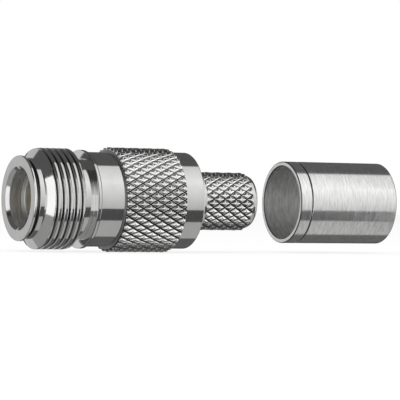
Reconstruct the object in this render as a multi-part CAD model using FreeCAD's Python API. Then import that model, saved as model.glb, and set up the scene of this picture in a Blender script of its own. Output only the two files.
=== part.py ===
"""N type coaxial jack for crimped cable, with its crimp ferrule drawn off towards the cable.

The axis is +X, from the mating face to the cable end, and +Z is up. The origin lies on the axis in
the reference plane, the step inside the jack that the plug's outer contact butts against.
Lengths are in millimetres and angles in degrees.
"""

import FreeCAD
import Part
import math
import os

# Mating interface
reference_depth = 9.1
mating_bore = 8.1
mouth_step = 0.475
mouth_depth = 2.5
mouth_chamfer = 0.53
reference_step = 0.55
line_length = 1.6
contact_diameter = 3.04
contact_recess = 4.1
pin_hole_diameter = 1.62
pin_hole_depth = 4.6
contact_slot_width = 0.25
contact_slot_depth = 4.0
contact_tip_chamfer = 0.3

# Front body: lip, undercut, nose, coupling thread, neck, collar and the spigot inside the rear body
lip_diameter = 13.45
lip_back_diameter = 12.4
lip_length = 0.75
undercut_width = 0.3
undercut_depth = 0.35
nose_diameter = 12.7
nose_length = 1.07
thread_diameter = 15.875
thread_length = 6.26
threads_per_inch = 24
thread_groove_angle = 60.0
thread_groove_depth = 0.45
thread_first_land = 0.17
thread_lead_length = 1.04
thread_back_chamfer = 0.15
neck_diameter = 12.9
neck_length = 2.14
collar_diameter = 15.54
collar_thickness = 0.7
spigot_wall = 1.0
spigot_length = 4.58

# Outer contact sleeve inside the front body
mating_wall = 1.25
bead_seat_wall = 0.7

# Insulators, captive centre contact and gasket
bead_length = 3.2
shoulder_diameter = 4.2
shoulder_length = 1.2
barrel_diameter = 3.9
barrel_bore = 2.8
barrel_bore_depth = 5.0
inspection_hole_diameter = 0.8
inspection_hole_setback = 0.6
barrel_recess = 0.4
gasket_thickness = 0.5
rear_insulator_flange_length = 4.1
rear_insulator_flange_step = 0.9

# Rear body: smooth front band, knurl and smooth rear band
front_band_diameter = 14.92
front_band_length = 4.15
body_knurl_diameter = 16.6
body_knurl_length = 10.53
body_knurl_depth = 0.42
body_knurl_count = 38
body_knurl_helix = 30.0
rear_band_diameter = 15.44
rear_band_length = 3.27

# Crimp stem
stem_diameter = 9.4
stem_bore = 7.4
stem_flange_length = 1.2
stem_root_length = 1.97
stem_knurl_length = 8.53
stem_knurl_depth = 0.3
stem_knurl_count = 21
stem_knurl_helix = 35.0
stem_tip_diameter = 8.6
stem_tip_length = 0.93
stem_tip_chamfer = 0.4
stem_mouth_chamfer = 0.3

# Crimp ferrule, drawn off over the cable
ferrule_diameter = 13.38
ferrule_wall = 0.75
ferrule_length = 18.11
ferrule_draw_off = 6.7
ferrule_groove_setback = 2.0
ferrule_groove_width = 0.25
ferrule_groove_depth = 0.12

# Fits and finish
knurl_groove_angle = 80.0
edge_break = 0.15
press_clearance = 0.02
slip_clearance = 0.05

# Diameters that follow the mating bore
mouth_diameter = mating_bore + 2 * mouth_step
line_bore = mating_bore - 2 * reference_step
sleeve_diameter = mating_bore + 2 * mating_wall
spigot_diameter = sleeve_diameter + 2 * spigot_wall
bead_seat_diameter = sleeve_diameter - 2 * bead_seat_wall
rear_insulator_flange_diameter = bead_seat_diameter + 2 * rear_insulator_flange_step
stem_flange_diameter = rear_insulator_flange_diameter

# Places along the axis, worked out from the reference plane
mating_face = -reference_depth
mouth_floor = mating_face + mouth_depth
lip_end = mating_face + lip_length
thread_front = lip_end + nose_length
thread_back = thread_front + thread_length
collar_front = thread_back + neck_length
seam = collar_front + collar_thickness
spigot_end = seam + spigot_length
bead_front = line_length
bead_back = bead_front + bead_length
contact_tip = mating_face + contact_recess
socket_floor = spigot_end + gasket_thickness
stem_front = socket_floor + rear_insulator_flange_length
contact_end = stem_front - barrel_recess
stem_shoulder = stem_front + stem_flange_length
body_knurl_start = seam + front_band_length
body_knurl_end = body_knurl_start + body_knurl_length
back_face = body_knurl_end + rear_band_length
stem_knurl_start = back_face + stem_root_length
stem_knurl_end = stem_knurl_start + stem_knurl_length
stem_tip = stem_knurl_end + stem_tip_length
ferrule_front = stem_tip + ferrule_draw_off

AXIS = FreeCAD.Vector(1, 0, 0)
ORIGIN = FreeCAD.Vector(0, 0, 0)


def profile_wire(points, closed):
    """Wire in the XZ plane through (place along the axis, radius) points."""
    corners = [FreeCAD.Vector(x, 0, radius) for x, radius in points]
    if closed:
        corners.append(corners[0])
    return Part.makePolygon(corners)


def turned(points):
    """Solid of revolution about the axis from a closed half section."""
    section = Part.Face(profile_wire(points, closed=True))
    return section.revolve(ORIGIN, AXIS, 360)


def clipped(polygon, a, b, c):
    """Part of a convex polygon where a * x + b * s + c is not negative."""
    kept = []
    for index, point in enumerate(polygon):
        previous = polygon[index - 1]
        value = a * point[0] + b * point[1] + c
        before = a * previous[0] + b * previous[1] + c
        if (value > 0) != (before > 0):
            share = before / (before - value)
            kept.append(tuple(p + (q - p) * share for p, q in zip(previous, point)))
        if value > 0:
            kept.append(point)
    return kept


def polygon_area(polygon):
    """Area of a polygon in the unrolled plane."""
    return 0.5 * abs(sum(
        p[0] * q[1] - q[0] * p[1] for p, q in zip(polygon, polygon[1:] + polygon[:1])
    ))


def knurl_facets(crest_radius, depth, start, end, starts, helix):
    """Triangles of a diamond knurl: truncated pyramids between two families of helical vee grooves.

    The surface is unrolled at the crest, with x along the axis and s around it. In each diamond the
    height above the root is the least of four groove flanks, the flat crest and the two end chamfers,
    which are all planes there, so each plane keeps one convex polygon of the diamond.
    """
    around = 2 * math.pi * crest_radius / starts
    along = around / math.tan(math.radians(helix))
    flank_slope = 1 / math.tan(math.radians(knurl_groove_angle / 2))
    reach = flank_slope / math.hypot(2 / along, 2 / around)
    middle = (start + end) / 2
    rows = math.ceil((end - start) / along) + 1
    triangles = []
    for row in range(-rows, rows + 1):
        for column in range(row % 2, 2 * starts, 2):
            centre_x = middle + row * along / 2
            centre_s = column * around / 2
            diamond = [
                (centre_x - along / 2, centre_s),
                (centre_x, centre_s - around / 2),
                (centre_x + along / 2, centre_s),
                (centre_x, centre_s + around / 2),
            ]
            diamond = clipped(diamond, 1, 0, -start)
            diamond = clipped(diamond, -1, 0, end)
            if len(diamond) < 3:
                continue
            planes = [(0, 0, depth), (1, 0, -start), (-1, 0, end)]
            for side_x in (-1, 1):
                for side_s in (-1, 1):
                    slope_x = -side_x * 2 / along * reach
                    slope_s = -side_s * 2 / around * reach
                    planes.append((slope_x, slope_s, reach - slope_x * centre_x - slope_s * centre_s))
            for plane in planes:
                region = diamond
                for other in planes:
                    if other is not plane and len(region) > 2:
                        region = clipped(region, *(q - p for p, q in zip(plane, other)))
                if len(region) < 3 or polygon_area(region) < 1e-7:
                    continue
                first = min(range(len(region)), key=lambda k: abs(region[k][1] - centre_s))
                region = region[first:] + region[:first]
                corners = []
                for x, s in region:
                    radius = crest_radius - depth + plane[0] * x + plane[1] * s + plane[2]
                    angle = s / crest_radius
                    corner = (round(x, 6), round(radius * math.sin(angle), 6), round(radius * math.cos(angle), 6))
                    if corner not in corners:
                        corners.append(corner)
                for second, third in zip(corners[1:], corners[2:]):
                    triangles.append((corners[0], second, third))
    return triangles


def knurled(points, crest_radius, depth, starts, helix):
    """Turned solid whose outline is open between its last and its first point, closed by a knurl.

    The outline runs from the foot of the knurl's end, round the piece, to the foot of its start.
    """
    end = points[0][0]
    start = points[-1][0]
    triangles = knurl_facets(crest_radius, depth, start, end, starts, helix)
    faces = [Part.Face(Part.makePolygon([FreeCAD.Vector(*corner) for corner in triangle + triangle[:1]]))
             for triangle in triangles]
    rest = profile_wire(points, closed=False).revolve(ORIGIN, AXIS, 360)
    faces.extend(rest.Faces)
    corners = {corner for triangle in triangles for corner in triangle}
    for place, foot_radius in ((start, points[-1][1]), (end, points[0][1])):
        ring = [corner for corner in corners if abs(corner[0] - place) < 1e-5]
        ring.sort(key=lambda corner: math.atan2(corner[1], corner[2]))
        ring_wire = Part.makePolygon([FreeCAD.Vector(*corner) for corner in ring + ring[:1]])
        foot = [edge for edge in rest.Edges
                if len(edge.Vertexes) == 1 and abs(edge.Vertexes[0].X - place) < 1e-6
                and abs(edge.Curve.Radius - foot_radius) < 1e-6]
        faces.append(Part.makeFace([ring_wire, Part.Wire(foot[0])], "Part::FaceMakerBullseye"))
    sewn = Part.Compound(faces)
    sewn.sewShape()
    solid = Part.makeSolid(sewn.Shells[0])
    if solid.Volume < 0:
        solid.reverse()
    return solid


def thread_outline():
    """Crests and vees of the coupling thread, drawn as rings, from its lead cone to its back chamfer."""
    pitch = 25.4 / threads_per_inch
    crest = thread_diameter / 2
    half_width = thread_groove_depth * math.tan(math.radians(thread_groove_angle / 2))
    outline = [(thread_front + thread_lead_length, crest)]
    root = thread_front + thread_lead_length + thread_first_land + half_width
    while root + half_width < thread_back - thread_back_chamfer:
        outline.append((root - half_width, crest))
        outline.append((root, crest - thread_groove_depth))
        outline.append((root + half_width, crest))
        root += pitch
    outline.append((thread_back - thread_back_chamfer, crest))
    return outline


def front_body():
    """Threaded jack shell: back-tapered lip, undercut, nose, lead cone, thread, neck, collar and spigot."""
    mouth_radius = mouth_diameter / 2
    undercut_radius = nose_diameter / 2 - undercut_depth
    sleeve_seat = sleeve_diameter / 2 + press_clearance
    return turned([
        (mating_face, mouth_radius + mouth_chamfer),
        (mating_face, lip_diameter / 2 - edge_break),
        (mating_face + edge_break, lip_diameter / 2),
        (lip_end, lip_back_diameter / 2),
        (lip_end, undercut_radius),
        (lip_end + undercut_width, undercut_radius),
        (lip_end + undercut_width, nose_diameter / 2),
        (thread_front, nose_diameter / 2),
        *thread_outline(),
        (thread_back, thread_diameter / 2 - thread_back_chamfer),
        (thread_back, neck_diameter / 2),
        (collar_front, neck_diameter / 2),
        (collar_front, collar_diameter / 2 - edge_break),
        (collar_front + edge_break, collar_diameter / 2),
        (seam - edge_break, collar_diameter / 2),
        (seam, collar_diameter / 2 - edge_break),
        (seam, spigot_diameter / 2),
        (spigot_end, spigot_diameter / 2),
        (spigot_end, sleeve_seat),
        (mouth_floor, sleeve_seat),
        (mouth_floor, mouth_radius),
        (mating_face + mouth_chamfer, mouth_radius),
    ])


def outer_contact():
    """Sleeve pressed into the front body: mating bore, reference step, air line and bead seat."""
    lead_in = (mouth_diameter - mating_bore) / 2
    return turned([
        (mouth_floor, mating_bore / 2 + lead_in),
        (mouth_floor, sleeve_diameter / 2),
        (spigot_end, sleeve_diameter / 2),
        (spigot_end, bead_seat_diameter / 2),
        (bead_front, bead_seat_diameter / 2),
        (bead_front, line_bore / 2),
        (0, line_bore / 2),
        (0, mating_bore / 2),
        (mouth_floor + lead_in, mating_bore / 2),
    ])


def front_insulator():
    """Bead that centres the contact and takes its shoulder from behind."""
    outer = bead_seat_diameter / 2 - press_clearance
    bore = contact_diameter / 2 + press_clearance
    pocket = shoulder_diameter / 2 + press_clearance
    return turned([
        (bead_front, bore),
        (bead_front, outer),
        (bead_back, outer),
        (bead_back, pocket),
        (bead_back - shoulder_length, pocket),
        (bead_back - shoulder_length, bore),
    ])


def centre_contact():
    """Female contact: slotted spring socket in front, shoulder, and crimp barrel behind."""
    radius = contact_diameter / 2
    hole = pin_hole_diameter / 2
    shoulder_front = bead_back - shoulder_length
    barrel_floor = contact_end - barrel_bore_depth
    solid = turned([
        (contact_tip, hole + contact_tip_chamfer / 2),
        (contact_tip, radius - contact_tip_chamfer),
        (contact_tip + contact_tip_chamfer, radius),
        (shoulder_front, radius),
        (shoulder_front, shoulder_diameter / 2),
        (bead_back, shoulder_diameter / 2),
        (bead_back, barrel_diameter / 2),
        (contact_end, barrel_diameter / 2),
        (contact_end, barrel_bore / 2),
        (barrel_floor, barrel_bore / 2),
        (barrel_floor, 0),
        (contact_tip + pin_hole_depth, 0),
        (contact_tip + pin_hole_depth, hole),
        (contact_tip + contact_tip_chamfer / 2, hole),
    ])
    for size_y, size_z in ((contact_diameter, contact_slot_width), (contact_slot_width, contact_diameter)):
        corner = FreeCAD.Vector(contact_tip, -size_y / 2, -size_z / 2)
        solid = solid.cut(Part.makeBox(contact_slot_depth, size_y, size_z, corner))
    hole_x = barrel_floor + inspection_hole_setback
    drill = Part.makeCylinder(
        inspection_hole_diameter / 2, barrel_diameter, FreeCAD.Vector(hole_x, 0, 0), FreeCAD.Vector(0, 0, 1)
    )
    return solid.cut(drill)


def rear_insulator():
    """Stepped bead round the crimp barrel, held between the front bead and the stem."""
    outer = bead_seat_diameter / 2 - press_clearance
    bore = barrel_diameter / 2 + slip_clearance
    flange = rear_insulator_flange_diameter / 2
    return turned([
        (bead_back, bore),
        (bead_back, outer),
        (socket_floor, outer),
        (socket_floor, flange),
        (stem_front, flange),
        (stem_front, bore),
    ])


def body_gasket():
    """Flat ring squeezed between the spigot and the floor of the rear body's socket."""
    outer = spigot_diameter / 2 - slip_clearance
    inner = sleeve_diameter / 2 + slip_clearance
    return turned([
        (spigot_end, inner),
        (spigot_end, outer),
        (socket_floor, outer),
        (socket_floor, inner),
    ])


def rear_body():
    """Knurled grip body that takes the front body's spigot, the rear insulator and the stem."""
    socket = spigot_diameter / 2 + press_clearance
    insulator_seat = max(rear_insulator_flange_diameter, stem_flange_diameter) / 2 + press_clearance
    shank_seat = stem_diameter / 2 + press_clearance
    return knurled(
        [
            (body_knurl_end, rear_band_diameter / 2),
            (back_face - edge_break, rear_band_diameter / 2),
            (back_face, rear_band_diameter / 2 - edge_break),
            (back_face, shank_seat),
            (stem_shoulder, shank_seat),
            (stem_shoulder, insulator_seat),
            (socket_floor, insulator_seat),
            (socket_floor, socket),
            (seam, socket),
            (seam, front_band_diameter / 2 - edge_break),
            (seam + edge_break, front_band_diameter / 2),
            (body_knurl_start, front_band_diameter / 2),
        ],
        body_knurl_diameter / 2,
        body_knurl_depth,
        body_knurl_count,
        body_knurl_helix,
    )


def crimp_stem():
    """Tube that goes under the cable's braid, knurled so that the crimp bites."""
    radius = stem_diameter / 2
    return knurled(
        [
            (stem_knurl_end, stem_tip_diameter / 2),
            (stem_tip - stem_tip_chamfer, stem_tip_diameter / 2),
            (stem_tip, (stem_tip_diameter - stem_tip_chamfer) / 2),
            (stem_tip, stem_bore / 2),
            (stem_front + stem_mouth_chamfer, stem_bore / 2),
            (stem_front, stem_bore / 2 + stem_mouth_chamfer),
            (stem_front, stem_flange_diameter / 2),
            (stem_shoulder, stem_flange_diameter / 2),
            (stem_shoulder, radius),
            (stem_knurl_start, radius),
        ],
        radius,
        stem_knurl_depth,
        stem_knurl_count,
        stem_knurl_helix,
    )


def crimp_ferrule():
    """Thin tube that is slid back over the braid and squeezed on the stem."""
    outer = ferrule_diameter / 2
    inner = outer - ferrule_wall
    groove = ferrule_front + ferrule_groove_setback
    ferrule_back = ferrule_front + ferrule_length
    return turned([
        (ferrule_front, inner + edge_break / 2),
        (ferrule_front, outer - edge_break),
        (ferrule_front + edge_break, outer),
        (groove, outer),
        (groove, outer - ferrule_groove_depth),
        (groove + ferrule_groove_width, outer - ferrule_groove_depth),
        (groove + ferrule_groove_width, outer),
        (ferrule_back - edge_break, outer),
        (ferrule_back, outer - edge_break),
        (ferrule_back, inner + edge_break / 2),
        (ferrule_back - edge_break / 2, inner),
        (ferrule_front + edge_break / 2, inner),
    ])


pieces = {
    "front_body": front_body,
    "outer_contact": outer_contact,
    "front_insulator": front_insulator,
    "centre_contact": centre_contact,
    "rear_insulator": rear_insulator,
    "body_gasket": body_gasket,
    "rear_body": rear_body,
    "crimp_stem": crimp_stem,
    "crimp_ferrule": crimp_ferrule,
}

os.makedirs("parts", exist_ok=True)
for name, make in pieces.items():
    shape = make()
    shape.exportStep("parts/" + name + ".step")
    print(name, "valid", shape.isValid(), "solids", len(shape.Solids), "volume", round(shape.Volume, 2))
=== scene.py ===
"""Looks of an N type coaxial crimp jack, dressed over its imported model.

The jack lies on a pale floor with its mating face to the left, and its crimp ferrule is drawn off
to the right. The pieces' outlines are written in millimetres along the axis and out from it, in
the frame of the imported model, and their meshes are scaled to metres when they are made. The studio
round them is written in metres.
"""

import logging
import math
from dataclasses import dataclass, field, replace
from enum import Enum

import bmesh
import bpy
from mathutils import Matrix, Vector


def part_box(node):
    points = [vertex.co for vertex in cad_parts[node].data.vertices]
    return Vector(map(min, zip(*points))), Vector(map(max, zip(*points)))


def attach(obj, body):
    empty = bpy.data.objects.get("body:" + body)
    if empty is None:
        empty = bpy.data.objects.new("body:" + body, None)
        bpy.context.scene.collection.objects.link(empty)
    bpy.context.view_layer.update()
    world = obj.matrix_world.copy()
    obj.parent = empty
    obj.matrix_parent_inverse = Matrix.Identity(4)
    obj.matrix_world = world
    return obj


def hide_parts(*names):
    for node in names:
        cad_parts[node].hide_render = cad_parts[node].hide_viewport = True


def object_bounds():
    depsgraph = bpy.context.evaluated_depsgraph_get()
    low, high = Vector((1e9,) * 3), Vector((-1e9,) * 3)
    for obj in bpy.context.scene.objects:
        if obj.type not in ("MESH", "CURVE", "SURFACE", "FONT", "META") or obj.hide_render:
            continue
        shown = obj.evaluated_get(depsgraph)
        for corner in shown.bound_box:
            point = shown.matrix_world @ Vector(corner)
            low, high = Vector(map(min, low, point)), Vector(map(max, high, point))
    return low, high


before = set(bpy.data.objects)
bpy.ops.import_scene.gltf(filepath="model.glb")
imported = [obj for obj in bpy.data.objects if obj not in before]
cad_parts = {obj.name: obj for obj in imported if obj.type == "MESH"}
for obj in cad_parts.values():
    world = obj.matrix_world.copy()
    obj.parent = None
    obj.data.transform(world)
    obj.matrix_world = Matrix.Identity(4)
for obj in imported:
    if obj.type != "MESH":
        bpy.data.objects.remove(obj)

CAD_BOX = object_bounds()
MM = 0.001
FULL_TURN = 2 * math.pi

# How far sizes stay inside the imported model's box, in millimetres
HAIR = 1e-5

# Room past a surface by which a span of radii takes it in or leaves it out, in millimetres
CLEAR = 0.1

# Part of a noise's factor that is spread over a whole range of values
NOISE_MIDDLE = (0.3, 0.7)

WHITE = (1, 1, 1, 1)

Point = tuple[float, float]
Vertex = tuple[float, float, float]
Colour = tuple[float, float, float]
Ring = list[int]
Socket = bpy.types.NodeSocket
Inputs = dict[str | int, object]

log = logging.getLogger("n_jack")


class Body(Enum):
    """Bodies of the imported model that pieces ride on."""

    JACK = "jack"
    FERRULE = "ferrule"


class Slot(Enum):
    """Material slots of the record. No piece here is given one."""

    NICKEL = "nickel_plate"
    SATIN = "satin_nickel"


def node_ends(node: str) -> Point:
    """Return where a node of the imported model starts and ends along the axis, in millimetres."""
    low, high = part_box(node)
    return low[0] / MM + HAIR, high[0] / MM - HAIR


def node_radius(node: str) -> float:
    """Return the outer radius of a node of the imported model, in millimetres."""
    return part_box(node)[1][2] / MM - HAIR


def placed(name: str, data: bpy.types.ID) -> bpy.types.Object:
    """Put a new object in the scene.

    Args:
        name: Its name.
        data: Its mesh, lamp or camera.

    Returns:
        The new object.
    """
    item = bpy.data.objects.new(name, data)
    bpy.context.scene.collection.objects.link(item)
    return item


class Wiring:
    """A node tree that a look is wired up in."""

    def __init__(self, tree: bpy.types.NodeTree, output: str) -> None:
        """Empty a node tree and give it an output.

        Args:
            tree: Node tree of a material or a world.
            output: Type of the output node.
        """
        self.nodes = tree.nodes
        self.links = tree.links
        self.nodes.clear()
        self.output = self.nodes.new(output)

    def add(self, kind: str, inputs: Inputs | None = None, **options: object) -> bpy.types.Node:
        """Add a node.

        Args:
            kind: Type of the node.
            inputs: A constant or a source socket for each input, by its name or number.
            **options: The node's own options, which are set first.

        Returns:
            The new node.
        """
        node = self.nodes.new(kind)
        for name, option in options.items():
            setattr(node, name, option)
        for key, value in (inputs or {}).items():
            if isinstance(value, Socket):
                self.links.new(value, node.inputs[key])
            else:
                node.inputs[key].default_value = value
        return node

    def show(self, shader: Socket) -> None:
        """Lead a shader to the output's surface."""
        self.links.new(shader, self.output.inputs["Surface"])


class Shading(Wiring):
    """The wiring of a new material."""

    def __init__(self, name: str) -> None:
        """Start an empty material.

        Args:
            name: Name of the material.
        """
        self.material = bpy.data.materials.new(name)
        self.material.use_nodes = True
        super().__init__(self.material.node_tree, "ShaderNodeOutputMaterial")

    def place(self) -> Socket:
        """Return the coordinates in the object's own space."""
        return self.add("ShaderNodeTexCoord").outputs["Object"]

    def noise(self, stretch: Vertex, detail: float = 2.0) -> Socket:
        """Add a noise in object space.

        Args:
            stretch: Features per metre along X, Y and Z.
            detail: Finer noises that are laid over the first.

        Returns:
            The noise's factor socket.
        """
        scaled = self.add("ShaderNodeMapping", {"Vector": self.place(), "Scale": stretch})
        inputs = {"Vector": scaled.outputs["Vector"], "Scale": 1.0, "Detail": detail}
        return self.add("ShaderNodeTexNoise", inputs).outputs["Fac"]

    def ranged(self, source: Socket, low: float, high: float) -> Socket:
        """Map the middle of a noise to a range of values.

        Args:
            source: Factor socket of a noise.
            low: Value where the noise is at or below its middle part.
            high: Value where the noise is at or above its middle part.

        Returns:
            The mapped value's socket.
        """
        start, end = NOISE_MIDDLE
        inputs = {"Value": source, "From Min": start, "From Max": end, "To Min": low, "To Max": high}
        return self.add("ShaderNodeMapRange", inputs).outputs["Result"]

    def blended(self, source: Socket, dark: Colour, light: Colour) -> Socket:
        """Blend two colours by a noise.

        Args:
            source: Factor socket of a noise.
            dark: Colour where the noise is low.
            light: Colour where the noise is high.

        Returns:
            The colour's socket.
        """
        inputs = {"Factor": self.ranged(source, 0, 1), "A": (*dark, 1), "B": (*light, 1)}
        return self.add("ShaderNodeMix", inputs, data_type="RGBA").outputs["Result"]

    def sunken(self, colour: Socket, deep: Colour, floor: float, rim: float, drop: float) -> Socket:
        """Paint a colour by radius towards the floor of grooves round the axis.

        Args:
            colour: Socket of the colour at the rim.
            deep: Painted colour at the floor: painted shade in grooves, painted light in the contact's
                bore.
            floor: Radius of the grooves' floor in metres.
            rim: Radius in metres where the plain colour starts.
            drop: How far the radii's centre lies below the axis, in metres.

        Returns:
            The colour's socket.
        """
        inputs = {0: self.place(), 1: (0, 1, 1), 2: (0, 0, drop)}
        across = self.add("ShaderNodeVectorMath", inputs, operation="MULTIPLY_ADD")
        radius = self.add("ShaderNodeVectorMath", {0: across.outputs["Vector"]}, operation="LENGTH")
        inputs = {"Value": radius.outputs["Value"], "From Min": floor, "From Max": rim}
        level = self.add("ShaderNodeMapRange", inputs, interpolation_type="SMOOTHSTEP")
        inputs = {"Factor": level.outputs["Result"], "A": (*deep, 1), "B": colour}
        return self.add("ShaderNodeMix", inputs, data_type="RGBA").outputs["Result"]

    def bumped(self, source: Socket, depth: float, under: Socket | None = None) -> Socket:
        """Turn a height into a normal.

        Args:
            source: Height socket.
            depth: Height of the bumps in metres.
            under: Normal that this one is laid over.

        Returns:
            The normal's socket.
        """
        inputs = {"Height": source, "Strength": 1.0, "Distance": depth}
        if under is not None:
            inputs["Normal"] = under
        return self.add("ShaderNodeBump", inputs).outputs["Normal"]

    def finished(self, inputs: Inputs) -> bpy.types.Material:
        """Give the material its surface shader.

        Args:
            inputs: A constant or a source socket for each of the shader's inputs.

        Returns:
            The material.
        """
        self.show(self.add("ShaderNodeBsdfPrincipled", inputs).outputs["BSDF"])
        return self.material


@dataclass(frozen=True)
class PlatedMetal:
    """Plated metal with turning rings round the axis, faint clouds and fine pits.

    The clouds run from dark to light, and the roughness from smooth to rough. Clouds may be
    stretched round the axis like turning marks. Grooves, where there are any, turn to a painted
    colour from their rim down to their floor, with radii in millimetres: painted shade in threads
    and knurls, and painted light in the contact's bore. Depths are in metres.
    """

    name: str
    dark: Colour
    light: Colour
    smooth: float = 0.06
    rough: float = 0.12
    ring_depth: float = 1.0e-6
    pit_depth: float = 0.4e-6
    rings_per_metre: float = 9000.0
    clouds_per_metre: float = 420.0
    cloud_stretch: float = 1.0
    cloud_detail: float = 4.0
    pits_per_metre: float = 14000.0
    rings_per_metre_round: float = 60.0
    groove_floor: float = 0.0
    groove_rim: float = 0.0
    groove_drop: float = 0.0
    painted_groove_colour: Colour = (0.02, 0.02, 0.02)

    def grooved(self, name: str, floor: float, rim: float, drop: float = 0.0) -> "PlatedMetal":
        """Return this finish with painted shade in its grooves.

        Args:
            name: Name of the new finish.
            floor: Radius of the grooves' floor in millimetres.
            rim: Radius in millimetres where the plain finish starts.
            drop: Lowers the radii's centre below the axis. More than 0 paints more shade on the
                underside.

        Returns:
            The new finish.
        """
        return replace(self, name=name, groove_floor=floor, groove_rim=rim, groove_drop=drop)

    def material(self) -> bpy.types.Material:
        """Wire the finish up.

        Returns:
            The new material.
        """
        shading = Shading(self.name)
        rings = shading.noise((self.rings_per_metre,) + (self.rings_per_metre_round,) * 2)
        clouds_round = self.clouds_per_metre / self.cloud_stretch
        clouds = shading.noise((self.clouds_per_metre, clouds_round, clouds_round), self.cloud_detail)
        pits = shading.noise((self.pits_per_metre,) * 3)
        colour = shading.blended(clouds, self.dark, self.light)
        # Painted colour by radius: painted shade in the grooves of threads and knurls, painted light in
        # the contact's bore
        if self.groove_rim > self.groove_floor:
            radii = (self.groove_floor * MM, self.groove_rim * MM, self.groove_drop * MM)
            colour = shading.sunken(colour, self.painted_groove_colour, *radii)
        roughness = shading.ranged(rings, self.smooth, self.rough)
        normal = shading.bumped(rings, self.ring_depth, shading.bumped(pits, self.pit_depth))
        inputs = {"Base Color": colour, "Metallic": 1.0, "Roughness": roughness, "Normal": normal}
        return shading.finished(inputs)


@dataclass(frozen=True)
class TurnedPlastic:
    """Matt moulded or turned plastic or rubber with a faint grain.

    Light shines through it by glow_share. The grain's depth is in metres.
    """

    name: str
    dark: Colour
    light: Colour
    roughness: float
    glow_share: float
    grain_depth: float
    grains_per_metre: float = 9000.0
    clouds_per_metre: float = 900.0
    cloud_detail: float = 3.0

    def material(self) -> bpy.types.Material:
        """Wire the finish up.

        Returns:
            The new material.
        """
        shading = Shading(self.name)
        clouds = shading.noise((self.clouds_per_metre,) * 3, self.cloud_detail)
        grain = shading.noise((self.grains_per_metre,) * 3)
        inputs = {
            "Base Color": shading.blended(clouds, self.dark, self.light),
            "Roughness": self.roughness,
            "Subsurface Weight": self.glow_share,
            "Subsurface Scale": MM,
            "Normal": shading.bumped(grain, self.grain_depth),
        }
        return shading.finished(inputs)


BRIGHT_NICKEL = PlatedMetal("bright_nickel", dark=(0.66, 0.66, 0.655), light=(0.72, 0.72, 0.71))
# A lighter copy of the bright nickel: painted light on the lip, the collar's front and the knurls' crests
PAINTED_LIGHT_NICKEL = PlatedMetal("painted_light_nickel", dark=(0.82, 0.82, 0.81), light=(0.90, 0.90, 0.89))
SATIN_NICKEL = PlatedMetal(
    "satin_nickel",
    dark=(0.75, 0.75, 0.745),
    light=(0.95, 0.95, 0.94),
    smooth=0.11,
    rough=0.18,
    ring_depth=3.0e-6,
    pit_depth=1.7e-6,
    clouds_per_metre=4200.0,
    cloud_stretch=6.0,
)
BORED_NICKEL = PlatedMetal(
    "bored_nickel",
    dark=(0.62, 0.62, 0.62),
    light=(0.96, 0.96, 0.95),
    smooth=0.38,
    rough=0.56,
    ring_depth=4.0e-6,
    pit_depth=1.5e-6,
    rings_per_metre=3500.0,
    clouds_per_metre=3600.0,
    cloud_stretch=6.0,
)
# Painted shade: near-black nickel in the undercut behind the lip, on the collar's two lines, in the
# ferrule's groove and on the roundings of its ends; the line at the seam also stands for the dark joint
# there
SHADED_NICKEL = PlatedMetal(
    "shaded_nickel",
    dark=(0.10, 0.10, 0.10),
    light=(0.18, 0.18, 0.18),
    smooth=0.30,
    rough=0.45,
    ring_depth=2.0e-6,
    pit_depth=1.0e-6,
)

# Painted light in the mating bore, which has a radius of 4.05 mm, and painted shade as a dim nickel on
# the sleeve's ends and outside and on the step up to the rear knurl
CONTACT_PAINTED_NICKEL = PlatedMetal(
    "contact_painted_nickel",
    dark=(0.34, 0.34, 0.34),
    light=(0.42, 0.42, 0.42),
    smooth=0.42,
    rough=0.60,
    ring_depth=4.0e-6,
    pit_depth=1.5e-6,
    rings_per_metre=3500.0,
    groove_floor=4.06,
    groove_rim=4.12,
    painted_groove_colour=(0.96, 0.96, 0.95),
)
GOLD_PLATE = PlatedMetal(
    "gold_plate",
    dark=(0.78, 0.55, 0.20),
    light=(0.88, 0.66, 0.28),
    smooth=0.12,
    rough=0.20,
    pit_depth=0.5e-6,
)
WHITE_BEAD = TurnedPlastic(
    "white_bead",
    dark=(0.84, 0.84, 0.82),
    light=(0.92, 0.92, 0.90),
    roughness=0.42,
    glow_share=0.15,
    grain_depth=2.0e-6,
)
RED_GASKET = TurnedPlastic(
    "red_gasket",
    dark=(0.42, 0.12, 0.07),
    light=(0.52, 0.17, 0.10),
    roughness=0.6,
    glow_share=0.0,
    grain_depth=4.0e-6,
)


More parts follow.
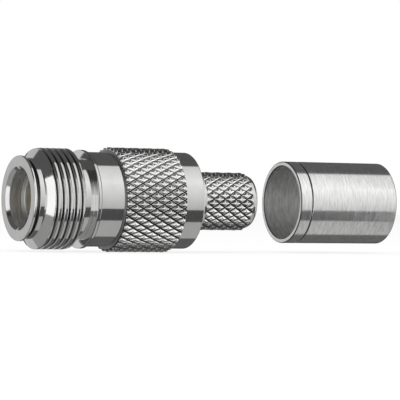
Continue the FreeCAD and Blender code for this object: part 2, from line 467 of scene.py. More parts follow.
@dataclass
class TurnedMesh:
    """Mesh of rings round the axis, in millimetres, that ends up as one object.

    The rings of an outline are turned by half_steps, each half of a segment, to meet a knurl's
    last row. Points closer than weld become one, edges shorter than sliver are dissolved, and an
    edge is sharp from crease upwards, in degrees.
    """

    name: str
    segments: int
    half_steps: int = 0
    weld: float = 1e-4
    sliver: float = 1e-5
    crease: float = 34.0
    vertices: list[Vertex] = field(default_factory=list)
    faces: list[tuple[int, ...]] = field(default_factory=list)

    def angle(self, step: int) -> float:
        """Return the angle of a step of the ring that the outlines use."""
        return (2 * step + self.half_steps) * math.pi / self.segments

    def add(self, x: float, radius: float, angle: float) -> int:
        """Add one vertex.

        Args:
            x: Place along the axis.
            radius: Distance from the axis.
            angle: Angle round the axis, from up towards the back.

        Returns:
            The vertex's index.
        """
        self.vertices.append((x, radius * math.sin(angle), radius * math.cos(angle)))
        return len(self.vertices) - 1

    def ring(self, x: float, radius: float) -> Ring:
        """Add a round ring and return its vertices."""
        return [self.add(x, radius, self.angle(step)) for step in range(self.segments)]

    def join(self, first: Ring, second: Ring) -> None:
        """Join two rings with a band of faces.

        Args:
            first: Vertices of the one ring.
            second: Vertices of the other, in the same order.
        """
        for step in range(self.segments):
            after = (step + 1) % self.segments
            self.faces.append((first[step], first[after], second[after], second[step]))

    def sweep(self, outline: list[Point]) -> tuple[Ring, Ring]:
        """Turn an open outline about the axis.

        Args:
            outline: Points along the axis and out from it.

        Returns:
            The first and the last ring.
        """
        rings = [self.ring(x, radius) for x, radius in outline]
        for first, second in zip(rings, rings[1:]):
            self.join(first, second)
        return rings[0], rings[-1]

    def finish(self) -> bpy.types.Object:
        """Make the object, in metres, with clean normals.

        Returns:
            The new object.
        """
        mesh = bpy.data.meshes.new(self.name)
        mesh.from_pydata(self.vertices, [], self.faces)
        work = bmesh.new()
        work.from_mesh(mesh)
        bmesh.ops.remove_doubles(work, verts=work.verts, dist=self.weld)
        bmesh.ops.dissolve_degenerate(work, dist=self.sliver, edges=work.edges)
        bmesh.ops.recalc_face_normals(work, faces=work.faces)
        bmesh.ops.scale(work, vec=(MM, MM, MM), verts=work.verts)
        work.to_mesh(mesh)
        work.free()
        mesh.shade_smooth()
        mesh.set_sharp_from_angle(angle=math.radians(self.crease))
        return placed(self.name, mesh)


def rounded(
    outline: list[Point],
    radius: float,
    closed: bool,
    steps: int = 4,
    side_share: float = 0.4,
    beside: float = 1.2,
) -> list[Point]:
    """Round the corners of an outline.

    Each corner becomes a short curve with a point beside each of its ends, which keeps the
    shading of the flats beside it true.

    Args:
        outline: Corner points.
        radius: Length that a corner takes from each side, or less on a short side.
        closed: True if the last point joins the first.
        steps: Spans of each curve.
        side_share: Most that a corner takes of a side.
        beside: Place of the points beside a curve, as a multiple of the length it takes.

    Returns:
        The rounded outline's points.
    """
    points = [Vector(point) for point in outline]
    made = []
    for index, corner in enumerate(points):
        if not closed and index in (0, len(points) - 1):
            made.append(corner)
            continue
        before = points[index - 1] - corner
        after = points[(index + 1) % len(points)] - corner
        reach = min(radius, side_share * before.length, side_share * after.length)
        start = corner + before.normalized() * reach
        end = corner + after.normalized() * reach
        made.append(corner + before.normalized() * reach * beside)
        for step in range(steps + 1):
            share = step / steps
            made.append(start * (1 - share) ** 2 + corner * 2 * share * (1 - share) + end * share**2)
        made.append(corner + after.normalized() * reach * beside)
    return [(point.x, point.y) for point in made]


def softened(rise: float, softness: float) -> float:
    """Return a rise that levels off at 1 with a soft shoulder.

    Args:
        rise: The plain rise, 1 at the level part.
        softness: How far on either side of 1 the shoulder reaches.

    Returns:
        The softened rise.
    """
    overlap = max(softness - abs(rise - 1), 0) / softness
    return min(rise, 1) - overlap**2 * softness / 4


@dataclass(frozen=True)
class DiamondKnurl:
    """Diamond knurl: rounded pyramids between two families of helical grooves.

    Fineness is the number of vertices to a diamond in a row, and end_slope is how fast the
    diamonds rise from each end. The grooves get painted shade up to dark_share of the depth,
    centred below the axis by dark_drop of it, so that the underside gets more.
    """

    start: float
    end: float
    crest_radius: float
    depth: float
    count: int
    helix: float
    fineness: int = 12
    roundness: float = 2.4
    dark_share: float = 0.58
    dark_drop: float = 0.22
    end_slope: float = 2.0

    @property
    def segments(self) -> int:
        """Vertices in each row round the axis."""
        return self.count * self.fineness

    @property
    def around(self) -> float:
        """Spacing of the diamonds round the crest."""
        return FULL_TURN * self.crest_radius / self.count

    @property
    def rows(self) -> int:
        """Rows of vertices from the middle of the knurl to either end."""
        along = self.around / math.tan(math.radians(self.helix))
        return round(self.fineness * (self.end - self.start) / along)

    @property
    def root_radius(self) -> float:
        """Radius at the bottom of the grooves."""
        return self.crest_radius - self.depth

    def height(self, p: float, q: float, room: float) -> float:
        """Return the height above the root.

        Args:
            p: Place across the first family of grooves, in groove spacings.
            q: Place across the second family.
            room: Distance to the nearer end of the knurl.

        Returns:
            The height in millimetres.
        """
        away = 1 - 2 * max(abs(p - round(p)), abs(q - round(q)))
        return min(self.depth * (1 - (1 - away) ** self.roundness), self.end_slope * room)

    def build(self, mesh: TurnedMesh) -> tuple[Ring, Ring]:
        """Add the knurl's surface to a mesh.

        Args:
            mesh: Mesh whose rings have this knurl's segments.

        Returns:
            The knurl's first and last ring.
        """
        middle = (self.start + self.end) / 2
        half = (self.end - self.start) / 2
        whole = 2 * self.segments
        table = {}
        for row in range(-self.rows, self.rows + 1):
            x = middle + half * row / self.rows
            for column in range(row % 2, whole, 2):
                p = (column + row) / (2 * self.fineness)
                q = (column - row) / (2 * self.fineness)
                radius = self.root_radius + self.height(p, q, half - abs(x - middle))
                table[row, column] = mesh.add(x, radius, column * math.pi / self.segments)
        for row in range(-self.rows, self.rows + 1):
            for column in range((row + 1) % 2, whole, 2):
                corners = [
                    table.get((row - 1, column)),
                    table[row, (column + 1) % whole],
                    table.get((row + 1, column)),
                    table[row, (column - 1) % whole],
                ]
                mesh.faces.append(tuple(corner for corner in corners if corner is not None))
        columns = range(self.rows % 2, whole, 2)
        first = [table[-self.rows, column] for column in columns]
        last = [table[self.rows, column] for column in columns]
        return first, last

    def finish(self) -> PlatedMetal:
        """Paint shade in this knurl's grooves over the nickel with painted light.

        Returns:
            The knurl's own finish.
        """
        rim = self.root_radius + self.dark_share * self.depth
        drop = self.dark_drop * self.depth
        return PAINTED_LIGHT_NICKEL.grooved("knurled_nickel_painted_shade", self.root_radius, rim, drop)

    def wrap(self, name: str, outline: list[Point], edge: float) -> bpy.types.Object:
        """Make a turned piece that carries the knurl.

        Args:
            name: Name of the piece.
            outline: Open outline from the knurl's end, round the piece, to its start.
            edge: Rounding of the outline's corners.

        Returns:
            The new object.
        """
        mesh = TurnedMesh(name, self.segments, self.rows % 2)
        first, last = mesh.sweep(rounded(outline, edge, closed=False))
        start, end = self.build(mesh)
        mesh.join(end, first)
        mesh.join(last, start)
        return mesh.finish()


@dataclass(frozen=True)
class CouplingThread:
    """Right-handed external thread with a lead cone in front and a chamfer behind.

    Softness is how far the shoulders of the crests are rounded, as a part of the depth. Fineness
    is the number of vertex rows to a pitch. A groove's floor passes first_root at root_turn
    before straight up, as a part of a turn: a quarter is level in front.
    """

    start: float
    end: float
    crest_radius: float
    lead_radius: float
    lead_length: float
    back_chamfer: float
    first_root: float
    pitch: float = 25.4 / 24
    depth: float = 0.45
    groove_angle: float = 60.0
    softness: float = 0.4
    root_turn: float = 0.25
    segments: int = 288
    fineness: int = 28

    def radius(self, x: float, angle: float) -> float:
        """Return the radius of the threaded surface.

        Args:
            x: Place along the axis.
            angle: Angle round the axis.

        Returns:
            The radius in millimetres.
        """
        turns = (x - self.first_root) / self.pitch + angle / FULL_TURN + self.root_turn
        away = abs(turns - round(turns)) * self.pitch
        rise = away / math.tan(math.radians(self.groove_angle / 2)) / self.depth
        level = softened(rise, self.softness)
        lead = (x - self.start) / self.lead_length * (self.crest_radius - self.lead_radius)
        chamfer = self.end - x - self.back_chamfer
        crest = self.crest_radius + min(chamfer, 0)
        return min(crest, self.lead_radius + lead, self.crest_radius - self.depth * (1 - level))

    def build(self, mesh: TurnedMesh) -> tuple[Ring, Ring]:
        """Add the thread's surface to a mesh.

        The rows of vertices follow the helix, and those past an end gather on that end.

        Args:
            mesh: Mesh whose rings have this thread's segments.

        Returns:
            The thread's first and last ring.
        """
        count = math.ceil((self.end - self.start) / self.pitch + 1) * self.fineness
        columns = []
        for step in range(self.segments + 1):
            angle = step * FULL_TURN / self.segments
            column = []
            for row in range(count + 1):
                x = self.start + self.pitch * (row / self.fineness - step / self.segments)
                x = min(max(x, self.start), self.end)
                column.append(mesh.add(x, self.radius(x, angle), angle))
            columns.append(column)
        for first, second in zip(columns, columns[1:]):
            for row in range(count):
                mesh.faces.append((first[row], first[row + 1], second[row + 1], second[row]))
        return [column[0] for column in columns[:-1]], [column[-1] for column in columns[:-1]]


@dataclass
class FrontBody:
    """Threaded jack shell that shows outside, and the collar at the seam.

    The lip's crown is level between two places behind the face, and the lip has painted light,
    as a lighter nickel, but for lip_margin at each end. The thread has painted shade from its crest
    down, to full dark at groove_reach times its depth, a little more on its upper side. The collar
    has a fine dark line of painted shade at each end, the one at the seam also standing for the
    dark joint there, and its front has painted light up to bright_front_radius.
    """

    lip_radius: float = 6.725
    lip_back_radius: float = 6.2
    lip_length: float = 0.75
    lip_round: float = 0.15
    lip_crown_drop: float = 0.0375
    lip_crown_start: float = 0.075
    lip_crown_end: float = 0.36
    lip_margin: float = 0.03
    nose_radius: float = 6.35
    nose_length: float = 1.07
    lead_length: float = 1.04
    thread_length: float = 6.26
    back_chamfer: float = 0.15
    first_land: float = 0.17
    groove_half_width: float = 0.26
    groove_reach: float = 1.15
    groove_drop: float = -0.05
    undercut_width: float = 0.3
    undercut_depth: float = 0.35
    neck_radius: float = 6.45
    neck_length: float = 2.14
    collar_radius: float = 7.77
    collar_thickness: float = 0.7
    collar_chamfer: float = 0.06
    collar_line: float = 0.12
    bright_front_radius: float = 7.6
    front_line_radius: float = 7.5
    seam_line_radius: float = 7.2
    spigot_radius: float = 6.3
    sleeve_seat: float = 5.32
    mouth_radius: float = 4.525
    mouth_chamfer: float = 0.53
    edge: float = 0.07

    @property
    def face(self) -> float:
        """Place of the mating face."""
        return node_ends("front_body")[0]

    @property
    def lip_end(self) -> float:
        """Place of the lip's back."""
        return self.face + self.lip_length

    @property
    def undercut_end(self) -> float:
        """Place where the undercut behind the lip ends."""
        return self.lip_end + self.undercut_width

    @property
    def undercut_radius(self) -> float:
        """Radius at the bottom of the undercut."""
        return self.nose_radius - self.undercut_depth

    @property
    def thread_start(self) -> float:
        """Place where the lead cone starts."""
        return self.lip_end + self.nose_length

    @property
    def lead_end(self) -> float:
        """Place where the lead cone ends."""
        return self.thread_start + self.lead_length

    @property
    def thread_end(self) -> float:
        """Place where the thread ends."""
        return self.thread_start + self.thread_length

    @property
    def collar_front(self) -> float:
        """Place of the collar's front."""
        return self.thread_end + self.neck_length

    @property
    def line_start(self) -> float:
        """Place where the collar's front chamfer ends and its dark line starts."""
        return self.collar_front + self.collar_chamfer

    @property
    def seam(self) -> float:
        """Place where the collar meets the rear body."""
        return self.collar_front + self.collar_thickness

    def thread(self) -> CouplingThread:
        """Place the coupling thread on the shell.

        Returns:
            The thread.
        """
        return CouplingThread(
            start=self.thread_start,
            end=self.thread_end,
            crest_radius=node_radius("front_body"),
            lead_radius=self.nose_radius,
            lead_length=self.lead_length,
            back_chamfer=self.back_chamfer,
            first_root=self.lead_end + self.first_land + self.groove_half_width,
        )

    def outline(self) -> list[Point]:
        """Draw the shell, except for its thread.

        Returns:
            Open outline from the thread's end, round the shell, to the thread's start.
        """
        spigot_end = node_ends("front_body")[1]
        mouth_floor = node_ends("outer_contact")[0]
        chamfer_radius = self.collar_radius - self.collar_chamfer
        crown_radius = self.lip_radius - self.lip_crown_drop
        return [
            (self.thread_end, self.neck_radius),
            (self.collar_front, self.neck_radius),
            (self.collar_front, chamfer_radius),
            (self.line_start, self.collar_radius),
            (self.line_start + self.collar_line, self.collar_radius),
            (self.seam - self.collar_line, self.collar_radius),
            (self.seam, chamfer_radius),
            (self.seam, self.spigot_radius),
            (spigot_end, self.spigot_radius),
            (spigot_end, self.sleeve_seat),
            (mouth_floor, self.sleeve_seat),
            (mouth_floor, self.mouth_radius),
            (self.face + self.mouth_chamfer, self.mouth_radius),
            (self.face, self.mouth_radius + self.mouth_chamfer),
            (self.face, self.lip_radius - self.lip_round),
            (self.face + self.lip_crown_start, crown_radius),
            (self.face + self.lip_crown_end, crown_radius),
            (self.lip_end, self.lip_back_radius),
            (self.lip_end, self.undercut_radius),
            (self.undercut_end, self.undercut_radius),
            (self.undercut_end, self.nose_radius),
            (self.thread_start, self.nose_radius),
        ]

    def build(self) -> bpy.types.Object:
        """Make the shell's mesh and dress it.

        Returns:
            The new object.
        """
        thread = self.thread()
        mesh = TurnedMesh("threaded_front_body", thread.segments)
        first, last = mesh.sweep(rounded(self.outline(), self.edge, closed=False))
        start, end = thread.build(mesh)
        mesh.join(end, first)
        mesh.join(last, start)
        piece = dressed(mesh.finish(), BRIGHT_NICKEL, Body.JACK, "front_body")
        self.shade_bore_and_thread(piece, thread)
        self.shade_lip(piece)
        self.shade_collar(piece)
        return piece

    def shade_bore_and_thread(self, piece: bpy.types.Object, thread: CouplingThread) -> None:
        """Give the bore its bored finish and paint shade in the thread's grooves.

        Args:
            piece: The dressed shell.
            thread: Its coupling thread.
        """
        bored = (0, self.mouth_radius + self.edge / 4)
        refinish(piece, BORED_NICKEL, node_ends("front_body"), bored)
        # Painted shade in the thread's grooves, from the crest down
        floor = thread.crest_radius - self.groove_reach * thread.depth
        threaded = BRIGHT_NICKEL.grooved("threaded_nickel_painted_shade", floor, thread.crest_radius, self.groove_drop)
        ridges = (self.neck_radius + CLEAR, thread.crest_radius + CLEAR)
        refinish(piece, threaded, (self.lead_end, self.thread_end - self.edge), ridges)

    def shade_lip(self, piece: bpy.types.Object) -> None:
        """Paint shade in the undercut behind the lip and paint light on the lip.

        Args:
            piece: The dressed shell.
        """
        # Painted shade in the undercut behind the lip
        undercut = (self.undercut_radius - CLEAR, self.lip_back_radius)
        refinish(piece, SHADED_NICKEL, (self.lip_end, self.undercut_end), undercut)
        # Painted light on the lip, as a lighter nickel
        lip = (self.face + self.lip_margin, self.lip_end - self.lip_margin)
        refinish(piece, PAINTED_LIGHT_NICKEL, lip, (self.nose_radius, self.lip_radius + CLEAR))

    def shade_collar(self, piece: bpy.types.Object) -> None:
        """Paint the collar's two dark lines as shade and paint light on its front; the line at the seam
        also stands for the dark joint there.

        Args:
            piece: The dressed shell.
        """
        top = self.collar_radius + CLEAR
        # Painted shade along the collar's front edge
        line = (self.line_start, self.line_start + self.collar_line)
        refinish(piece, SHADED_NICKEL, line, (self.front_line_radius, top))
        # Painted shade at the seam, which also stands for the dark joint there
        line = (self.seam - self.collar_line, self.seam)
        refinish(piece, SHADED_NICKEL, line, (self.seam_line_radius, top))
        # Painted light on the collar's front, as a lighter nickel
        front = (self.collar_front - self.collar_line, self.line_start)
        refinish(piece, PAINTED_LIGHT_NICKEL, front, (self.neck_radius, self.bright_front_radius))


@dataclass
class RearBody:
    """Knurled grip body between the collar and the crimp stem.

    The step up to the knurl gets painted shade, as a dim nickel, within step_margin of it.
    """

    front_band_radius: float = 7.46
    front_band_length: float = 4.15
    knurl_length: float = 10.53
    knurl_depth: float = 0.42
    knurl_count: int = 38
    knurl_helix: float = 30.0
    rear_band_radius: float = 7.72
    socket_radius: float = 6.32
    insulator_seat: float = 5.52
    shank_seat: float = 4.72
    step_margin: float = 0.015
    edge: float = 0.12

    def build(self) -> bpy.types.Object:
        """Make the body's mesh and dress it.

        Returns:
            The new object.
        """
        seam, back = node_ends("rear_body")
        socket_floor = node_ends("body_gasket")[1]
        stem_shoulder = node_ends("rear_insulator")[1] + CrimpStem.flange_length
        start = seam + self.front_band_length
        end = start + self.knurl_length
        knurl = DiamondKnurl(
            start, end, node_radius("rear_body"), self.knurl_depth, self.knurl_count, self.knurl_helix
        )
        outline = [
            (end, self.rear_band_radius),
            (back, self.rear_band_radius),
            (back, self.shank_seat),
            (stem_shoulder, self.shank_seat),
            (stem_shoulder, self.insulator_seat),
            (socket_floor, self.insulator_seat),
            (socket_floor, self.socket_radius),
            (seam, self.socket_radius),
            (seam, self.front_band_radius),
            (start, self.front_band_radius),
        ]
        piece = knurl.wrap("knurled_rear_body", outline, self.edge)
        dressed(piece, BRIGHT_NICKEL, Body.JACK, "rear_body")
        diamonds = (self.socket_radius + CLEAR, knurl.crest_radius + CLEAR)
        # Painted shade in the knurl's grooves, more on the underside
        refinish(piece, knurl.finish(), (start, end), diamonds)
        # Painted shade, as a dim nickel, on the step up to the knurl
        step = (self.front_band_radius + self.edge / 2, knurl.root_radius)
        refinish(piece, CONTACT_PAINTED_NICKEL, (start - self.step_margin, start + self.step_margin), step)
        return piece


@dataclass
class CrimpStem:
    """Knurled tube that goes under the cable's braid."""

    radius: float = 4.7
    bore: float = 3.7
    flange_length: float = 1.2
    root_length: float = 1.97
    knurl_length: float = 8.53
    knurl_depth: float = 0.3
    knurl_count: int = 21
    knurl_helix: float = 35.0
    tip_radius: float = 4.3
    tip_chamfer: float = 0.4
    mouth_chamfer: float = 0.3
    edge: float = 0.05

    def build(self) -> bpy.types.Object:
        """Make the stem's mesh and dress it.

        Returns:
            The new object.
        """
        front, tip = node_ends("crimp_stem")
        flange_radius = node_radius("crimp_stem")
        shoulder = front + self.flange_length
        start = node_ends("rear_body")[1] + self.root_length
        end = start + self.knurl_length
        knurl = DiamondKnurl(
            start, end, self.radius, self.knurl_depth, self.knurl_count, self.knurl_helix
        )
        outline = [
            (end, self.tip_radius),
            (tip - self.tip_chamfer, self.tip_radius),
            (tip, self.tip_radius - self.tip_chamfer / 2),
            (tip, self.bore),
            (front + self.mouth_chamfer, self.bore),
            (front, self.bore + self.mouth_chamfer),
            (front, flange_radius),
            (shoulder, flange_radius),
            (shoulder, self.radius),
            (start, self.radius),
        ]
        piece = knurl.wrap("knurled_crimp_stem", outline, self.edge)
        dressed(piece, BRIGHT_NICKEL, Body.JACK, "crimp_stem")
        diamonds = (self.bore + CLEAR, knurl.crest_radius + CLEAR)
        # Painted shade in the knurl's grooves, more on the underside
        refinish(piece, knurl.finish(), (start, end), diamonds)
        return piece


@dataclass
class CrimpFerrule:
    """Thin satin tube drawn off towards the cable.

    Its end faces keep the satin finish for face_depth, and the rounding behind them gets painted
    shade as a dark outline. The groove has painted shade too.
    """

    wall: float = 0.75
    groove_setback: float = 2.0
    groove_width: float = 0.25
    groove_depth: float = 0.12
    face_depth: float = 0.002
    edge: float = 0.14
    segments: int = 288

    def build(self) -> bpy.types.Object:
        """Make the ferrule's mesh and dress it.

        Returns:
            The new object.
        """
        front, back = node_ends("crimp_ferrule")
        outer = node_radius("crimp_ferrule")
        inner = outer - self.wall
        groove = front + self.groove_setback
        groove_end = groove + self.groove_width
        outline = [
            (front, inner),
            (front, outer),
            (groove, outer),
            (groove, outer - self.groove_depth),
            (groove_end, outer - self.groove_depth),
            (groove_end, outer),
            (back, outer),
            (back, inner),
        ]
        mesh = TurnedMesh("satin_crimp_ferrule", self.segments)
        first, last = mesh.sweep(rounded(outline, self.edge, closed=True))
        mesh.join(last, first)
        piece = dressed(mesh.finish(), SATIN_NICKEL, Body.FERRULE, "crimp_ferrule")
        refinish(piece, BORED_NICKEL, (front, back), (0, inner + self.edge / 4))
        # Painted shade in and beside the groove
        line = (groove - self.edge, groove_end + self.edge)
        refinish(piece, SHADED_NICKEL, line, (outer - self.wall / 2, outer - self.groove_depth / 3))
        # Painted shade on the outer roundings of both ends and on the inner rounding of the front
        front_rim = (front + self.face_depth, front + self.edge)
        back_rim = (back - self.edge + self.face_depth, back)
        for rim in (front_rim, back_rim):
            refinish(piece, SHADED_NICKEL, rim, (outer - self.edge, outer))
        refinish(piece, SHADED_NICKEL, front_rim, (0, inner + self.edge))
        return piece


def refinish(piece: bpy.types.Object, finish: PlatedMetal, span: Point, radii: Point) -> None:
    """Give some of a piece's faces another finish.

    Args:
        piece: A dressed piece.
        finish: The finish of those faces.
        span: Where the faces start and end along the axis, in millimetres.
        radii: Between which radii they lie, in millimetres.
    """
    piece.data.materials.append(finish.material())
    index = len(piece.data.materials) - 1
    for face in piece.data.polygons:
        radius = math.hypot(face.center.y, face.center.z) / MM
        if span[0] < face.center.x / MM < span[1] and radii[0] < radius < radii[1]:
            face.material_index = index


def dressed(
    piece: bpy.types.Object, finish: PlatedMetal | TurnedPlastic, body: Body, node: str
) -> bpy.types.Object:
    """Give a piece its finish and its place in the frame.

    Args:
        piece: The new object.
        finish: Its finish.
        body: The body that carries it.
        node: The node that it replaces.

    Returns:
        The same object.
    """
    piece.data.materials.append(finish.material())
    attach(piece, body.value)
    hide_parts(node)
    return piece


@dataclass
class InnerSet:
    """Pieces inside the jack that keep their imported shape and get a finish."""

    finishes: dict[str, PlatedMetal | TurnedPlastic] = field(
        default_factory=lambda: {
            # The outer contact's nickel carries painted shade, and painted light in its bore
            "outer_contact": CONTACT_PAINTED_NICKEL,
            "centre_contact": GOLD_PLATE,
            "front_insulator": WHITE_BEAD,
            "rear_insulator": WHITE_BEAD,
            "body_gasket": RED_GASKET,
        }
    )

    def dress(self) -> list[str]:
        """Put each finish on its node.

        Returns:
            The names of the dressed nodes.
        """
        for name, finish in self.finishes.items():
            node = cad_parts[name]
            node.data.materials.clear()
            node.data.materials.append(finish.material())
        return list(self.finishes)


@dataclass(frozen=True)
class StudioCard:
    """Long card beside the axis that only reflections see.

    It curves from a low to a high angle about the axis: 0 is level in front, 90 is overhead and
    180 is level behind. Left and right are its ends along the axis, and sizes are in metres.
    """

    name: str
    low: float
    high: float
    brightness: float
    high_brightness: float | None = None
    left: float = -2.2
    right: float = 0.85
    radius: float = 0.9
    steps: int = 12

    def glow(self, step: int) -> float:
        """Return the brightness at a step from the low edge to the high one."""
        top = self.brightness if self.high_brightness is None else self.high_brightness
        return self.brightness + (top - self.brightness) * step / self.steps

    def corner(self, angle: float, side: float) -> Vertex:
        """Return the card's point at an angle, on its left or right side."""
        return side, -self.radius * math.cos(angle), self.radius * math.sin(angle)

    def build(self) -> bpy.types.Object:
        """Make the card.

        Returns:
            The new object.
        """
        mesh = bpy.data.meshes.new(self.name)
        vertices = []
        for step in range(self.steps + 1):
            angle = math.radians(self.low + (self.high - self.low) * step / self.steps)
            vertices += [self.corner(angle, side) for side in (self.left, self.right)]
        faces = [(2 * step, 2 * step + 1, 2 * step + 3, 2 * step + 2) for step in range(self.steps)]
        mesh.from_pydata(vertices, [], faces)
        card = placed(self.name, mesh)
        shading = Shading(self.name)
        levels = mesh.attributes.new("glow", "FLOAT", "POINT")
        for index in range(len(vertices)):
            levels.data[index].value = self.glow(index // 2)
        level = shading.add("ShaderNodeAttribute", attribute_name="glow")
        glow = shading.add("ShaderNodeEmission", {"Strength": level.outputs["Fac"]})
        shading.show(glow.outputs["Emission"])
        card.data.materials.append(shading.material)
        card.visible_camera = False
        card.visible_diffuse = False
        card.visible_shadow = False
        return card


@dataclass(frozen=True)
class UprightCard(StudioCard):
    """Upright curved card round the object, seen only in reflections.

    Angles are level ones from the side of the mating face towards the front, and left and right
    are the card's lower and upper edges.
    """

    def corner(self, angle: float, side: float) -> Vertex:
        """Return the card's point at an angle, on its lower or upper edge."""
        return -self.radius * math.cos(angle), -self.radius * math.sin(angle), side


@dataclass
class Studio:
    """Pale floor, white surroundings, grey cards and a soft lamp.

    Sizes are in metres and the lamp's power is in watts. The camera sees the floor lifted towards
    white by floor_lift, and light and reflections don't.
    """

    cards: tuple[StudioCard, ...] = (
        StudioCard("key_card", -22.0, 44.0, 0.60, 1.10, left=0.3),
        StudioCard("key_left_card", 12.0, 56.0, 0.75, 0.05, right=0.3),
        StudioCard("key_top_card", 44.0, 90.0, 1.10, 0.80, left=0.3, right=0.65),
        StudioCard("overhead_card", 90.0, 149.0, 0.11, right=0.65),
        StudioCard("overhead_left_card", 56.0, 90.0, 0.05, right=0.3),
        StudioCard("overhead_right_card", 60.0, 149.0, 0.04, left=0.65, right=3.0),
        StudioCard("key_right_card", 15.0, 60.0, 0.60, 0.04, left=0.65, right=3.0),
        StudioCard("front_gap_card", -52.0, -22.0, 0.09, left=0.3, right=0.65),
        StudioCard("low_front_card", -102.0, -52.0, 0.48, left=0.3, right=0.65),
        StudioCard("low_right_card", -150.0, -52.0, 0.30, 0.06, left=0.65, right=3.0),
        StudioCard("front_left_card", -50.0, -32.0, 0.20, right=0.3),
        StudioCard("low_left_card", -102.0, -50.0, 0.06, left=-0.35, right=0.3),
        StudioCard("low_rear_card", -148.0, -102.0, 0.13, left=-0.35, right=0.65),
        StudioCard("low_end_card", -150.0, -50.0, 0.36, left=-2.9, right=-0.35),
        StudioCard("rear_card", 149.0, 212.0, 0.10, left=-2.9, right=1.4, radius=1.1),
        UprightCard("camera_side_card", 12.0, 56.0, 0.24, left=-0.75, right=0.75),
        UprightCard("mating_end_card", -12.0, 12.0, 1.35, left=-0.30, right=0.40),
        UprightCard("mouth_card", 14.0, 36.0, 1.20, left=-0.50, right=0.50, radius=0.85),
        UprightCard("rear_left_card", -97.0, -54.0, 0.60, left=-0.75, right=0.75),
        UprightCard("cable_end_card", 150.0, 205.0, 1.40, left=-0.35, right=0.35),
    )
    floor_half: float = 2.0
    surround: float = 0.8
    lamp_power: float = 6.0
    lamp_size: float = 0.9
    lamp_place: Vertex = (-0.25, -0.45, 0.75)
    floor_colour: float = 0.82
    floor_lift: float = 0.8

    def build(self) -> None:
        """Set the stage and the light."""
        self.floor()
        self.world()
        self.lamp()
        for card in self.cards:
            card.build()

    def floor(self) -> None:
        """Lay the floor under the lowest point of the object."""
        mesh = bpy.data.meshes.new("studio_floor")
        half = self.floor_half
        level = CAD_BOX[0][2]
        corners = [(-half, -half, level), (half, -half, level), (half, half, level), (-half, half, level)]
        mesh.from_pydata(corners, [], [(0, 1, 2, 3)])
        floor = placed("studio_floor", mesh)
        shading = Shading("studio_floor")
        paper = shading.add("ShaderNodeBsdfDiffuse", {"Color": (self.floor_colour,) * 3 + (1,)})
        glow = shading.add("ShaderNodeEmission")
        rays = shading.add("ShaderNodeLightPath")
        inputs = {0: rays.outputs["Is Camera Ray"], 1: self.floor_lift}
        lift = shading.add("ShaderNodeMath", inputs, operation="MULTIPLY")
        inputs = {"Fac": lift.outputs["Value"], 1: paper.outputs["BSDF"], 2: glow.outputs["Emission"]}
        shading.show(shading.add("ShaderNodeMixShader", inputs).outputs["Shader"])
        floor.data.materials.append(shading.material)
        floor.visible_glossy = False

    def world(self) -> None:
        """Make the surroundings white to the camera and in reflections, and dimmer as light."""
        world = bpy.data.worlds.new("studio_world")
        bpy.context.scene.world = world
        world.use_nodes = True
        wiring = Wiring(world.node_tree, "ShaderNodeOutputWorld")
        seen = wiring.add("ShaderNodeBackground", {"Color": WHITE})
        light = wiring.add("ShaderNodeBackground", {"Color": WHITE, "Strength": self.surround})
        rays = wiring.add("ShaderNodeLightPath")
        looked_at = rays.outputs["Is Camera Ray"]
        for kind in ("Is Glossy Ray", "Is Transmission Ray"):
            inputs = {0: looked_at, 1: rays.outputs[kind]}
            looked_at = wiring.add("ShaderNodeMath", inputs, operation="MAXIMUM").outputs["Value"]
        inputs = {"Fac": looked_at, 1: light.outputs["Background"], 2: seen.outputs["Background"]}
        wiring.show(wiring.add("ShaderNodeMixShader", inputs).outputs["Shader"])

    def lamp(self) -> None:
        """Hang the soft key lamp above and in front, aimed at the middle of the object."""
        data = bpy.data.lights.new("key_lamp", "AREA")
        data.energy = self.lamp_power
        data.size = self.lamp_size
        lamp = placed("key_lamp", data)
        lamp.location = self.lamp_place
        middle = (CAD_BOX[0] + CAD_BOX[1]) / 2
        lamp.rotation_euler = (middle - lamp.location).to_track_quat("-Z", "Y").to_euler()
        lamp.visible_glossy = False


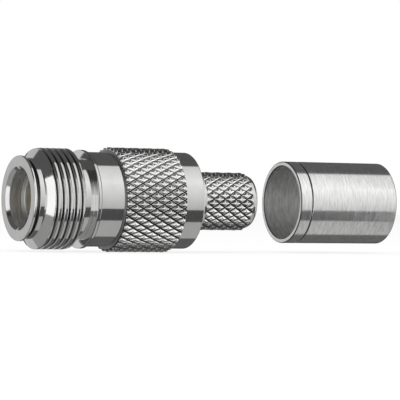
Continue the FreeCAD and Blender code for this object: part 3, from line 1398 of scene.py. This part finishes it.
@dataclass(frozen=True)
class PhotoCamera:
    """Camera at the photograph's place, found from the ellipses of the round edges.

    The anchor is a place on the axis in millimetres, and anchor_pixel is where it falls in the
    photograph's frame. Clip distances are in metres.
    """

    azimuth: float = -27.48
    elevation: float = -0.11
    roll: float = 0.82
    distance: float = 402.5
    focal_pixels: float = 2500.0
    frame_pixels: float = 400.0
    anchor: float = 20.9
    anchor_pixel: Point = (189.41, 200.84)
    sensor: float = 36.0
    clip_start: float = 0.01
    clip_end: float = 20.0

    def build(self) -> bpy.types.Object:
        """Make the camera and set it as the scene's.

        Returns:
            The camera object.
        """
        azimuth, elevation, roll = map(math.radians, (self.azimuth, self.elevation, self.roll))
        back = Vector((
            math.sin(azimuth) * math.cos(elevation),
            -math.cos(azimuth) * math.cos(elevation),
            math.sin(elevation),
        ))
        level = Vector((math.cos(azimuth), math.sin(azimuth), 0))
        upright = back.cross(level)
        right = level * math.cos(roll) + upright * math.sin(roll)
        up = upright * math.cos(roll) - level * math.sin(roll)
        half = self.frame_pixels / 2
        across = (self.anchor_pixel[0] - half) / self.focal_pixels
        above = (half - self.anchor_pixel[1]) / self.focal_pixels
        place = Vector((self.anchor, 0, 0)) + self.distance * (back - across * right - above * up)
        data = bpy.data.cameras.new("photo_camera")
        data.sensor_width = self.sensor
        data.lens = self.focal_pixels / self.frame_pixels * self.sensor
        data.clip_start = self.clip_start
        data.clip_end = self.clip_end
        camera = placed("photo_camera", data)
        turn = Matrix((right, up, back)).transposed().to_4x4()
        camera.matrix_world = Matrix.Translation(place * MM) @ turn
        bpy.context.scene.camera = camera
        return camera


def main() -> None:
    """Build the camera, the studio and every sub-assembly, and report each piece."""
    logging.basicConfig(level=logging.INFO, format="%(name)s: %(message)s")
    PhotoCamera().build()
    Studio().build()
    for maker in (FrontBody(), RearBody(), CrimpStem(), CrimpFerrule()):
        piece = maker.build()
        log.info("%s has %d faces", piece.name, len(piece.data.polygons))
    for name in InnerSet().dress():
        log.info("%s keeps its packed shape", name)
    bpy.context.scene.view_settings.view_transform = "Standard"


if __name__ == "__main__":
    main()
